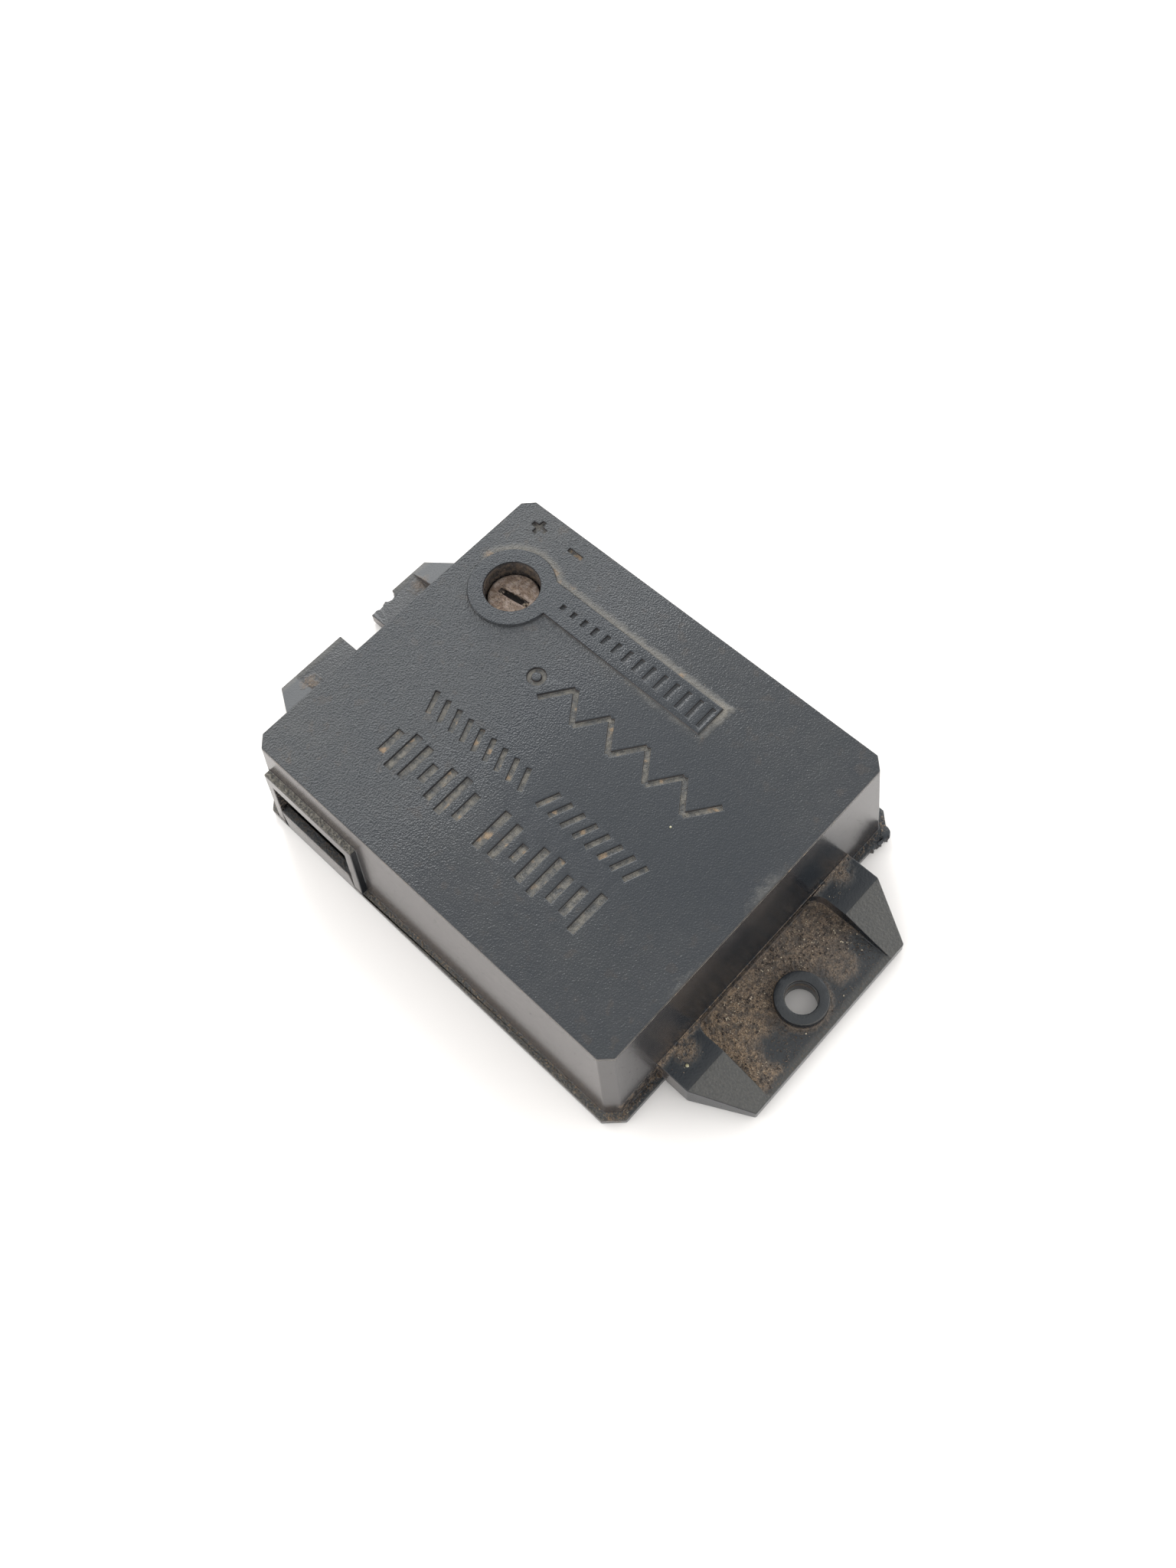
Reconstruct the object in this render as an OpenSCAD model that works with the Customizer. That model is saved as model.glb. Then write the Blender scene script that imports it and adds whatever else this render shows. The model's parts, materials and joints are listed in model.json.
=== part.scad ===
// Glass-break sensor module for a vehicle alarm. A leaning-walled plastic case with two
// screw ears, a harness socket and a screwdriver adjuster holds a small circuit board.
// Millimetres. +X runs from the slotted ear to the drilled ear, +Y runs away from the
// socket side and +Z is up. The origin is the centre of the underside.

/* [Case] */
// Length of the top face
case_l = 62; // [50:0.5:80]
// Width of the top face
case_w = 51.2; // [40:0.1:65]
// Height of the top face above the underside
case_h = 18.8; // [16:0.1:24]
// Thickness of the side walls
wall = 1.8; // [1.2:0.1:2.4]
// Thickness of the roof
roof = 2; // [1.2:0.1:3]
// Chamfer on the upright corners
corner = 1.5; // [0.5:0.1:4]
// How far each wall leans out between the top face and its foot
lean = 0.92; // [0.1:0.02:2]
// How far the flange stands out from the foot of the wall
flange_out = 1.06; // [0.5:0.02:2]
// Height of the flange's upper face
flange_top = 1.4; // [1:0.1:2.5]
// Chamfer on the flange's corners
flange_corner = 2.2; // [1:0.1:4]

/* [Ears] */
// Distance from the centre to an ear's outer edge
ear_reach = 44; // [40:0.5:50]
// Distance from the centre to where the ear starts to taper
ear_break = 36.6; // [34:0.1:40]
// Half the ear's width at the case
ear_root_half = 18.4; // [14:0.1:22]
// Half the ear's width at its outer edge
ear_tip_half = 14.35; // [10:0.05:18]
// Height of the ear's floor
ear_floor = 2.1; // [1.5:0.1:3]
// Height of the two gussets
gusset_top = 4.4; // [3:0.1:6]
// Width of the pocket between the gussets
pocket_w = 23.4; // [16:0.1:28]
// Radius in the pocket's corners at the wall
pocket_r = 2; // [0.5:0.1:4]
// Distance from the centre to the screw hole and the slot's end
screw_x = 39.2; // [38:0.1:41]
// Radius of the screw hole
screw_r = 2.1; // [1.5:0.05:3]
// Outer radius of the raised ring round the screw hole
ring_r = 3.5; // [3:0.1:5]
// Height of the raised ring's upper face
ring_top = 3.4; // [2.4:0.1:4.4]
// Width of the open slot in the other ear
slot_w = 5.5; // [4.2:0.1:7]

/* [Socket] */
// Left end of the socket frame
frame_x0 = -29.45; // [-30:0.05:-20]
// Width of the socket frame
frame_w = 17.02; // [12:0.02:24]
// Height of the socket frame's upper face
frame_top = 13.15; // [9:0.05:15]
// How far the frame stands out from the wall
frame_out = 1; // [0.5:0.02:2]
// Left end of the socket opening
mouth_x0 = -28.1; // [-29:0.05:-20]
// Width of the socket opening
mouth_w = 14.1; // [10:0.1:20]
// Height of the opening's upper edge
mouth_top = 11; // [8:0.1:12]
// Height of the sill that closes the opening below
sill_top = 5.4; // [4:0.1:7]
// Gap between the sill and the frame at its left end
sill_gap = 0.5; // [0.1:0.05:1]

/* [Adjuster] */
// Adjuster axis along the case
adjuster_x = -22.14; // [-24:0.02:-15]
// Adjuster axis across the case
adjuster_y = 13.27; // [5:0.01:16]
// Radius of the access hole
access_r = 3.9; // [2.5:0.1:5]
// Height of the spindle's slotted face
spindle_top = 16.5; // [14:0.1:18]
// Radius of the spindle's head
spindle_r = 3.6; // [2:0.1:4.5]
// Length of the screwdriver slot
driver_slot_l = 4.8; // [3:0.1:6]
// Direction of the screwdriver slot at rest, in degrees
driver_slot_angle = 9; // [0:1:90]
// Radius of the raised ring round the access hole
panel_r = 6.1; // [4.5:0.1:8]
// Height of the raised ring and bar above the top face
panel_h = 0.3; // [0.1:0.05:0.8]

/* [Board] */
// Height of the board's upper face
board_top = 5; // [4.4:0.1:6]
// Board thickness
board_t = 1.6; // [0.8:0.2:2.4]
// Gap between the board's edge and the case wall
board_gap = 1; // [0.3:0.1:2]

/* [Hidden] */
$fn = 48;

// Heights of the stacked pieces
cover_lip = 0.5;
cover_t = 1.6;
ear_under = 0.3;
ceiling = case_h - roof;
board_under = board_top - board_t;

// The walls pivot about the top face's edge, so the lean fixes both angles
foot_drop = case_h - flange_top;
lean_angle = atan(lean / foot_drop);
corner_angle = atan(lean * sqrt(2) / foot_drop);
foot_l = case_l + 2 * lean;
foot_w = case_w + 2 * lean;
flange_l = foot_l + 2 * flange_out;
flange_w = foot_w + 2 * flange_out;
board_l = foot_l - 2 * (wall + board_gap);
board_w = foot_w - 2 * (wall + board_gap);

// Relief in the top face
mark_depth = 0.35;
panel_x1 = 11.15;
panel_y0 = 13;
panel_y1 = 17.85;

// Screws: the cover's four, and the board's two
cover_screw_at = [[27, -20.6], [27, 20.9], [-27, 20.9], [-27, -12.5]];
board_screw_at = [[2, -20.8], [-11, 21]];
post_r = 2.5;
screw_core_r = 0.9;
screw_head_r = 1.9;
pilot_r = 0.95;

// Trimmer, from the board up
trimmer_w = 9.5;
trimmer_h = 4.8;
rotor_r = 3.3;
stem_r = 1.5;
spindle_head_t = 1.6;
running_gap = 0.05;

// Microphone, lying on its side against the far wall
mic_x = 7;
mic_z = 10.8;
mic_r = 4.85;
mic_l = 6.5;
boot_r = 5.8;
port_r = 1.2;

// Connector
pin_count = 4;
pin_pitch = 2.5;
pin_w = 0.64;
header_w = 13.4;
header_front = -26;
header_back = -18.6;
header_wall = 0.45;
header_x = mouth_x0 + mouth_w / 2 + 0.1;

// Board parts: [x, y] or [x, y, turn]
supply_cap_at = [21.5, -13];
signal_cap_at = [[21.5, -3.5], [21.5, 4.5], [-4, 13.5]];
film_cap_at = [[-25.2, -4], [-25.2, 2]];
disc_cap_at = [[-12, 4], [-12, 9], [14, 1.5], [14, 6]];
resistor_at = [[-9, -17], [-9, -14.2], [-9, -11.4], [9.5, -17], [9.5, -14.2], [0, 4.5], [0, 7.3], [21, 10.5]];
diode_at = [[9.5, -11.2], [21, 13.5]];
transistor_at = [[-18.7, -3.5], [-18.7, 2.5], [15, 11.5]];
lead_r = 0.3;
resistor_r = 1.15;
resistor_l = 6.3;
diode_r = 0.95;
diode_l = 3.8;
axial_span = 10.2;

module octagon(l, w, c) {
    polygon([
        [-l / 2, -w / 2 + c], [-l / 2 + c, -w / 2], [l / 2 - c, -w / 2], [l / 2, -w / 2 + c],
        [l / 2, w / 2 - c], [l / 2 - c, w / 2], [-l / 2 + c, w / 2], [-l / 2, w / 2 - c]
    ]);
}

// Everything beyond a plane through the local Z axis, tipped so that it leans out below
module beyond(angle) {
    rotate([0, -angle, 0])
        translate([0, -60, -60])
            cube([30, 120, 120]);
}

// The case's outside grown by the given amount, between two heights
module leaning_block(grow, z0, z1) {
    hx = case_l / 2 + grow;
    hy = case_w / 2 + grow;
    difference() {
        translate([-hx - 2 * lean, -hy - 2 * lean, z0])
            cube([2 * hx + 4 * lean, 2 * hy + 4 * lean, z1 - z0]);
        for (side = [0:3])
            rotate([0, 0, 90 * side])
                translate([side % 2 == 0 ? hx : hy, 0, case_h])
                    beyond(lean_angle);
        for (sx = [-1, 1], sy = [-1, 1])
            translate([sx * (hx - corner), sy * hy, case_h])
                rotate([0, 0, atan2(sy, sx)])
                    beyond(corner_angle);
    }
}

// An ear before its hole: a plate with a gusset at each side and a pocket between
module ear_blank() {
    difference() {
        intersection() {
            linear_extrude(gusset_top)
                polygon([
                    [foot_l / 2 - wall / 2, -ear_root_half], [ear_break, -ear_root_half],
                    [ear_reach, -ear_tip_half], [ear_reach, ear_tip_half],
                    [ear_break, ear_root_half], [foot_l / 2 - wall / 2, ear_root_half]
                ]);
            rotate([90, 0, 0])
                linear_extrude(2 * ear_root_half, center = true)
                    polygon([
                        [0, cover_lip], [flange_l / 2 + 0.15, cover_lip], [flange_l / 2 + 0.15, ear_under],
                        [ear_reach, ear_under], [ear_reach, ear_floor], [ear_break, gusset_top], [0, gusset_top]
                    ]);
        }
        translate([foot_l / 2 - 0.1, 0, ear_floor])
            linear_extrude(gusset_top)
                ear_pocket();
    }
}

module ear_pocket() {
    translate([pocket_r, -pocket_w / 2])
        square([ear_reach, pocket_w]);
    translate([0, pocket_r - pocket_w / 2])
        square([ear_reach, pocket_w - 2 * pocket_r]);
    for (s = [-1, 1])
        translate([pocket_r, s * (pocket_w / 2 - pocket_r)])
            circle(pocket_r);
}

// The slot opens outward; the lip beside it is bitten away
module ear_slot() {
    translate([-screw_x, 0, 0])
        cylinder(r = slot_w / 2, h = gusset_top);
    translate([-ear_reach - 1, -slot_w / 2, 0])
        cube([ear_reach + 1 - screw_x, slot_w, gusset_top]);
    for (bite = [[-44.2, 3.2, 1.1], [-44.1, 4.4, 1.15], [-44.2, 5.4, 0.95], [-43.9, 6.6, 1.05]])
        translate([bite[0], bite[1], 0])
            cylinder(r = bite[2], h = gusset_top);
}

// Torn plastic left on the flange beside the drilled ear
module torn_edge() {
    for (tear = [[32.5, 24.9, 1.15], [32.4, 23.6, 1], [32.3, 22.3, 0.9]])
        translate([tear[0], tear[1], cover_lip])
            cylinder(r = tear[2], h = flange_top - cover_lip);
}

module keyhole_panel() {
    translate([adjuster_x, adjuster_y, case_h])
        cylinder(r = panel_r, h = panel_h);
    translate([adjuster_x, panel_y0, case_h])
        cube([panel_x1 - adjuster_x, panel_y1 - panel_y0, panel_h]);
}

// A stroke of the given size, turned about its middle, that cuts down from a height
module stroke(x, y, l, w, turn, top, depth) {
    translate([x, y, top])
        rotate([0, 0, turn])
            cube([l, w, 2 * depth], center = true);
}

// Plain engraved patterns: a sound trace, a slanted row, a zigzag, a rising scale, less and more
module top_marks() {
    for (i = [0:15])
        if (i != 7)
            stroke(-17.6 + 2.3 * i, -13.6, 1.05, 6.1 * (0.42 + 0.58 * abs(sin(52 * i + 20))), 0, case_h, mark_depth);
    for (i = [0:17])
        if (i != 9)
            stroke(-17.6 + 2.08 * i, -6.05, 3.3, 0.7, i < 9 ? 112 : 68, case_h, mark_depth);
    for (i = [0:8])
        stroke(-6.4 + 3.1 * i, 5.5, 5, 0.75, i % 2 == 0 ? 54 : -54, case_h, mark_depth);
    translate([-10.1, 5.6, case_h])
        difference() {
            cylinder(r = 1.3, h = 2 * mark_depth, center = true);
            cylinder(r = 0.7, h = 3 * mark_depth, center = true);
        }
    for (i = [0:13])
        stroke(-14.6 + 1.92 * i, 15.4, 0.6, 0.7 + 0.2 * i, 0, case_h + panel_h, mark_depth);
    stroke(-19.4, 22.8, 2.4, 0.6, 0, case_h, 0.5);
    stroke(-26.2, 22.8, 2.4, 0.6, 0, case_h, 0.5);
    stroke(-26.2, 22.8, 0.6, 2.2, 0, case_h, 0.5);
}

// Posts that hang from the roof, each with a pilot hole
module hanging_posts(spots, foot) {
    for (p = spots)
        translate([p[0], p[1], foot])
            difference() {
                cylinder(r = post_r, h = ceiling - foot + 0.5);
                translate([0, 0, -1])
                    cylinder(r = pilot_r, h = 9);
            }
}

module upper_housing() {
    color([0.08, 0.09, 0.1])
    difference() {
        union() {
            difference() {
                union() {
                    leaning_block(0, cover_lip, case_h);
                    translate([0, 0, cover_lip])
                        linear_extrude(flange_top - cover_lip)
                            octagon(flange_l, flange_w, flange_corner);
                    intersection() {
                        leaning_block(frame_out, cover_lip, frame_top);
                        translate([frame_x0, -case_w, 0])
                            cube([frame_w, case_w, case_h]);
                    }
                    ear_blank();
                    mirror([1, 0, 0])
                        ear_blank();
                    torn_edge();
                    translate([screw_x, 0, ear_under])
                        cylinder(r = ring_r, h = ring_top - ear_under);
                    keyhole_panel();
                }
                leaning_block(-wall, -1, ceiling);
                translate([mouth_x0, -case_w, -1])
                    cube([mouth_w, case_w - 20, mouth_top + 1]);
            }
            hanging_posts(cover_screw_at, cover_t + 0.05);
            hanging_posts(board_screw_at, board_top);
            translate([adjuster_x, adjuster_y, ceiling - 2.4])
                cylinder(r = access_r + 1.3, h = 2.9);
        }
        translate([adjuster_x, adjuster_y, ceiling - 3])
            cylinder(r = access_r, h = case_h);
        translate([screw_x, 0, -1])
            cylinder(r = screw_r, h = case_h);
        ear_slot();
        translate([mic_x, 0, mic_z])
            rotate([-90, 0, 0])
                cylinder(r = port_r, h = case_w);
        top_marks();
    }
}

module bottom_cover() {
    plug_l = foot_l - 2 * (wall + 0.25);
    plug_w = foot_w - 2 * (wall + 0.25);
    color([0.1, 0.1, 0.11])
    difference() {
        union() {
            linear_extrude(cover_lip)
                octagon(flange_l - 0.1, flange_w - 0.1, flange_corner);
            translate([0, 0, cover_lip])
                linear_extrude(cover_t - cover_lip)
                    octagon(plug_l, plug_w, corner);
            translate([mouth_x0 + sill_gap, -flange_w / 2 + 0.05, 0])
                cube([mouth_w - sill_gap - 0.05, 1.25, sill_top]);
            translate([mouth_x0 + sill_gap, -flange_w / 2 + 0.05, 0])
                cube([mouth_w - sill_gap - 0.05, 4, cover_t]);
        }
        for (p = cover_screw_at)
            translate([p[0], p[1], -1]) {
                cylinder(r = screw_core_r + 0.3, h = 5);
                cylinder(r = screw_head_r + 0.2, h = 1.8);
            }
    }
}

// A self-tapping screw driven upward, head down
module screw(head_z, length) {
    difference() {
        union() {
            translate([0, 0, head_z])
                cylinder(r = screw_head_r, h = 0.7);
            translate([0, 0, head_z + 0.7])
                cylinder(r = screw_core_r, h = length);
        }
        for (turn = [0, 90])
            translate([0, 0, head_z])
                rotate([0, 0, turn])
                    cube([2.2, 0.5, 0.7], center = true);
    }
}

module cover_screws() {
    color("silver")
    for (p = cover_screw_at)
        translate([p[0], p[1], 0])
            screw(0.1, 7);
}

module board_screws() {
    color("silver")
    for (p = board_screw_at)
        translate([p[0], p[1], 0])
            screw(board_under - 0.7, 7);
}

module circuit_board() {
    color([0.12, 0.35, 0.2])
    difference() {
        translate([0, 0, board_under])
            linear_extrude(board_t)
                octagon(board_l, board_w, 2);
        for (p = cover_screw_at)
            translate([p[0], p[1], 0])
                cylinder(r = post_r + 0.4, h = board_top + 1);
        for (p = board_screw_at)
            translate([p[0], p[1], 0])
                cylinder(r = screw_core_r + 0.2, h = board_top + 1);
    }
}

module solder_dot(x, y) {
    translate([x, y, board_under - 0.6])
        cylinder(r = 0.7, h = 0.6);
}

module solder_joints() {
    color([0.75, 0.75, 0.77]) {
        for (i = [0:6], s = [-1, 1])
            solder_dot(6 + (i - 3) * 2.54, -4.5 + s * 3.81);
        for (i = [0:3], s = [-1, 1])
            solder_dot(-10 + (i - 1.5) * 2.54, -4.5 + s * 3.81);
        for (i = [0:pin_count - 1])
            solder_dot(header_x + (i - (pin_count - 1) / 2) * pin_pitch, header_back - 1);
        for (p = concat(resistor_at, diode_at), s = [-1, 1])
            solder_dot(p[0] + s * axial_span / 2, p[1]);
    }
}

// An open-faced box round the pins, facing out of the case
module connector_header() {
    z0 = board_top;
    h = mouth_top - 0.25 - z0;
    color([0.85, 0.83, 0.76])
    difference() {
        translate([header_x - header_w / 2, header_front, z0])
            cube([header_w, header_back - header_front, h]);
        translate([header_x - header_w / 2 + header_wall, header_front - 1, z0 + header_wall])
            cube([header_w - 2 * header_wall, 7.2, h - 2 * header_wall]);
        for (i = [0:pin_count - 1])
            translate([header_x + (i - (pin_count - 1) / 2) * pin_pitch, header_back, z0 + h / 2])
                cube([pin_w, 6, pin_w], center = true);
    }
}

module connector_pins() {
    z = board_top + (mouth_top - 0.25 - board_top) / 2;
    color([0.8, 0.72, 0.45])
    for (i = [0:pin_count - 1])
        translate([header_x + (i - (pin_count - 1) / 2) * pin_pitch, 0, 0]) {
            translate([-pin_w / 2, -23.2, z - pin_w / 2])
                cube([pin_w, 23.2 + header_back + 1.1, pin_w]);
            translate([-pin_w / 2, header_back + 1.1 - pin_w, board_top])
                cube([pin_w, pin_w, z - board_top]);
        }
}

module at_trimmer(z) {
    translate([adjuster_x, adjuster_y, z])
        children();
}

module trimmer_body() {
    color([0.25, 0.3, 0.55])
    at_trimmer(board_top)
        difference() {
            translate([-trimmer_w / 2, -trimmer_w / 2, 0])
                cube([trimmer_w, trimmer_w, trimmer_h]);
            translate([0, 0, 1])
                cylinder(r = rotor_r + 1, h = 2.3);
            translate([0, 0, 3])
                cylinder(r = stem_r + 0.9 + running_gap, h = trimmer_h);
        }
}

// The carbon track is a ring whose gap lies opposite the wiper at rest
module trimmer_track() {
    color([0.15, 0.15, 0.15])
    at_trimmer(board_top + 1)
        rotate([0, 0, driver_slot_angle - 125])
            rotate_extrude(angle = 250)
                translate([rotor_r - 1, 0])
                    square([1.6, 0.3]);
}

module trimmer_terminals() {
    color("silver")
    at_trimmer(board_top)
        for (p = [[-1, -2.5], [-1, 2.5], [1, 0]])
            translate([p[0] * (trimmer_w / 2 + 0.3) - 0.3, p[1] - 0.4, 0])
                cube([0.6, 0.8, 2.6]);
}

module trimmer_rotor() {
    color([0.9, 0.9, 0.88])
    at_trimmer(0)
        difference() {
            union() {
                translate([0, 0, board_top + 2])
                    cylinder(r = rotor_r, h = 1);
                translate([0, 0, board_top + 3])
                    cylinder(r = stem_r + 0.9, h = trimmer_h - 2.2);
            }
            translate([0, 0, board_top + 2.6])
                cylinder(r = stem_r, h = trimmer_h);
        }
}

module trimmer_wiper() {
    color([0.8, 0.7, 0.4])
    at_trimmer(board_top)
        rotate([0, 0, driver_slot_angle]) {
            translate([-0.9, -0.6, 1.7])
                cube([3.6, 1.2, 0.3]);
            translate([2.4, -0.6, 1.3])
                cube([0.3, 1.2, 0.7]);
        }
}

module trimmer_spindle() {
    color([0.55, 0.48, 0.38])
    at_trimmer(0)
        difference() {
            union() {
                translate([0, 0, board_top + 2.6])
                    cylinder(r = stem_r, h = spindle_top - board_top - 3);
                translate([0, 0, spindle_top - spindle_head_t])
                    cylinder(r = spindle_r, h = spindle_head_t);
            }
            translate([0, 0, spindle_top])
                rotate([0, 0, driver_slot_angle])
                    cube([driver_slot_l, 0.9, 1.6], center = true);
        }
}

// Faces +Y; the local Z axis runs from the capsule's back to its sound port
module at_microphone(y) {
    translate([mic_x, y, mic_z])
        rotate([-90, 0, 0])
            children();
}

module microphone_capsule() {
    color([0.75, 0.76, 0.78])
    at_microphone(16.6)
        difference() {
            cylinder(r = mic_r, h = mic_l);
            translate([0, 0, mic_l - 0.6])
                cylinder(r = 1, h = 1);
        }
}

module microphone_boot() {
    color([0.12, 0.12, 0.12])
    at_microphone(18)
        difference() {
            cylinder(r = boot_r, h = 5.8);
            translate([0, 0, -1])
                cylinder(r = mic_r, h = mic_l - 0.4);
            cylinder(r = port_r, h = 8);
        }
}

module microphone_leads() {
    color("silver")
    for (s = [-1, 1])
        translate([mic_x + 1.27 * s, 16.6, 0]) {
            translate([0, -1, mic_z])
                rotate([-90, 0, 0])
                    cylinder(r = lead_r, h = 1);
            translate([0, -1, board_top])
                cylinder(r = lead_r, h = mic_z - board_top);
        }
}

// A dual in-line package with a notch at one end
module dip(x, y, count) {
    l = count / 2 * 2.54 + 1.5;
    translate([x - l / 2, y - 3.2, board_top + 0.6])
        difference() {
            cube([l, 6.4, 3.4]);
            translate([0, 3.2, 2.9])
                cylinder(r = 0.9, h = 1);
        }
}

module dip_legs(x, y, count) {
    for (i = [0:count / 2 - 1], s = [-1, 1])
        translate([x + (i - (count / 2 - 1) / 2) * 2.54, y, board_top]) {
            translate([-0.3, s * 3.81 - 0.15, 0])
                cube([0.6, 0.3, 2.4]);
            translate([-0.7, s * 3.505 - 0.305, 2.1])
                cube([1.4, 0.61, 0.3]);
        }
}

module amplifier_chip() {
    color([0.12, 0.12, 0.13])
    dip(6, -4.5, 14);
}

module comparator_chip() {
    color([0.12, 0.12, 0.13])
    dip(-10, -4.5, 8);
}

module chip_legs() {
    color("silver") {
        dip_legs(6, -4.5, 14);
        dip_legs(-10, -4.5, 8);
    }
}

module can(p, r, h) {
    translate([p[0], p[1], board_top + 0.3])
        cylinder(r = r, h = h);
}

module sleeve(p, r, h) {
    translate([p[0], p[1], board_top + 0.5])
        difference() {
            cylinder(r = r + 0.15, h = h - 0.6);
            translate([0, 0, -1])
                cylinder(r = r, h = h + 2);
        }
}

module supply_capacitor() {
    color([0.78, 0.79, 0.8])
    can(supply_cap_at, 4, 10.5);
}

module signal_capacitors() {
    color([0.78, 0.79, 0.8])
    for (p = signal_cap_at)
        can(p, 2.5, 8.5);
}

module capacitor_sleeves() {
    color([0.1, 0.15, 0.35]) {
        sleeve(supply_cap_at, 4, 10.5);
        for (p = signal_cap_at)
            sleeve(p, 2.5, 8.5);
    }
}

module film_capacitors() {
    color([0.7, 0.15, 0.1])
    for (p = film_cap_at)
        translate([p[0] - 3.6, p[1] - 1.25, board_top + 0.3])
            cube([7.2, 2.5, 6.5]);
}

module disc_capacitors() {
    color([0.75, 0.5, 0.2])
    for (p = disc_cap_at)
        translate([p[0], p[1], board_top + 4.2])
            rotate([90, 0, 0])
                cylinder(r = 2.6, h = 2, center = true);
}

module capacitor_leads() {
    color("silver") {
        for (p = concat(film_cap_at, disc_cap_at), s = [-1, 1])
            translate([p[0] + 1.6 * s, p[1], board_top])
                cylinder(r = lead_r, h = 0.3);
        for (p = concat(signal_cap_at, [supply_cap_at]), s = [-1, 1])
            translate([p[0] + 1.2 * s, p[1], board_top])
                cylinder(r = lead_r, h = 0.3);
        for (p = disc_cap_at, s = [-1, 1])
            translate([p[0] + 1.6 * s, p[1], board_top + 0.3])
                cylinder(r = lead_r, h = 1.7);
    }
}

module axial(p, r, l) {
    translate([p[0] - l / 2, p[1], board_top + 1.5])
        rotate([0, 90, 0])
            cylinder(r = r, h = l);
}

module axial_lead_pair(p, l) {
    for (s = [-1, 1])
        translate([p[0] + s * axial_span / 2, p[1], board_top]) {
            cylinder(r = lead_r, h = 1.5);
            translate([0, 0, 1.5])
                rotate([0, -s * 90, 0])
                    cylinder(r = lead_r, h = (axial_span - l) / 2);
        }
}

module resistors() {
    color([0.8, 0.7, 0.5])
    for (p = resistor_at)
        axial(p, resistor_r, resistor_l);
}

module diodes() {
    color([0.75, 0.35, 0.2])
    for (p = diode_at)
        axial(p, diode_r, diode_l);
}

module axial_leads() {
    color("silver") {
        for (p = resistor_at)
            axial_lead_pair(p, resistor_l);
        for (p = diode_at)
            axial_lead_pair(p, diode_l);
    }
}

module transistors() {
    color([0.12, 0.12, 0.13])
    for (p = transistor_at)
        translate([p[0], p[1], board_top + 2.5])
            difference() {
                cylinder(r = 2.35, h = 4.6);
                translate([-3, 1.3, -1])
                    cube([6, 3, 7]);
            }
}

module transistor_legs() {
    color("silver")
    for (p = transistor_at, i = [-1:1])
        translate([p[0] + 1.27 * i - 0.22, p[1] - 0.22, board_top])
            cube([0.44, 0.44, 2.5]);
}

upper_housing();
bottom_cover();
cover_screws();
circuit_board();
board_screws();
solder_joints();
connector_header();
connector_pins();
trimmer_body();
trimmer_track();
trimmer_terminals();
trimmer_rotor();
trimmer_wiper();
trimmer_spindle();
microphone_capsule();
microphone_boot();
microphone_leads();
amplifier_chip();
comparator_chip();
chip_legs();
supply_capacitor();
signal_capacitors();
capacitor_sleeves();
film_capacitors();
disc_capacitors();
capacitor_leads();
resistors();
diodes();
axial_leads();
transistors();
transistor_legs();
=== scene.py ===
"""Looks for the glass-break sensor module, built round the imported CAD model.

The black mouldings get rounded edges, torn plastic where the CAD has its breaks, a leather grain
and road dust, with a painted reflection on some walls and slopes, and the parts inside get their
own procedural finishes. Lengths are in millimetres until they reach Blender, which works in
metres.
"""

import json
import math
import random

import bmesh
import bpy
from mathutils import Euler, Matrix, Vector, noise

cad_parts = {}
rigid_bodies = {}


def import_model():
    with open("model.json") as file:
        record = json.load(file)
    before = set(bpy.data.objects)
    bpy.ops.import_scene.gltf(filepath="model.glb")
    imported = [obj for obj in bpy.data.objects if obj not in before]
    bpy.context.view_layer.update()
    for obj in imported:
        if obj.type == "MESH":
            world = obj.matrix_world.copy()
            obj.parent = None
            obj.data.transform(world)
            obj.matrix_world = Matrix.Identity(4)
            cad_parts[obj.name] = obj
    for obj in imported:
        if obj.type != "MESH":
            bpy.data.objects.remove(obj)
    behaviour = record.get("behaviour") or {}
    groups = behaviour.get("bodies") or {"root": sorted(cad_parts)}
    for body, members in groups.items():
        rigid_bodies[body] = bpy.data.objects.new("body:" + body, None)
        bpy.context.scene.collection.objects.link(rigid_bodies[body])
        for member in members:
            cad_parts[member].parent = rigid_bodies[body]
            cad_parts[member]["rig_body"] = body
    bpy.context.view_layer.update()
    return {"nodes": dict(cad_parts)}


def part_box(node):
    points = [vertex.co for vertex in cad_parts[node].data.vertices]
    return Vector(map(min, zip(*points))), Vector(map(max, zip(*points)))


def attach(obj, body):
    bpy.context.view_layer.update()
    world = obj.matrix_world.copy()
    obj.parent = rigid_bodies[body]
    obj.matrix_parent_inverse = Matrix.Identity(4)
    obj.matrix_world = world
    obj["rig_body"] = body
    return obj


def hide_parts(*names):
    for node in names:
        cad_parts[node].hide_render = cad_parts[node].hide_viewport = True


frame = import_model()

MM = 0.001

# ---------------------------------------------------------------- driving dimensions, in mm

# x runs from the slotted ear on the left to the drilled one on the right, y from the socket in
# front to the microphone on the far side, and z up from the table.

# The case: its flat top and the marks cut into it, the foot of its leaning walls, its flange
TOP_Z = 18.8
TOP_HALF_X = 31.0
MARK_DEPTH = 0.35
FOOT_HALF = (31.92, 26.52)
FLANGE_Z = 1.4

# The ears: pocket floor, gusset tops and where their slopes begin, and the ring round the hole
EAR_FLOOR_Z = 2.1
EAR_BREAK = 36.6
GUSSET_Z = 4.4
POCKET_HALF = 11.7
RING_X = 39.2
RING_R = 3.5

# The socket: its frame, its mouth and the sill below it
FRAME_X = (-29.45, -12.43)
FRAME_Z = 13.15
MOUTH_X = (-28.1, -14.0)
SILL_Z = 5.4

# The adjuster's access hole, and the raised panel: a disc round the hole with a bar beside it
ACCESS_R = 3.9
PANEL_R = 6.1
PANEL_X1 = 11.15
PANEL_Y = (13.0, 17.85)

# The tracks on the circuit board, and the microphone: its x and z, and its felt's radius
TRACK_PITCH = 2.54
TRACK_WIDTH = 0.9
MICROPHONE_AT = (7.0, 10.8)
FELT_R = 3.9

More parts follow.
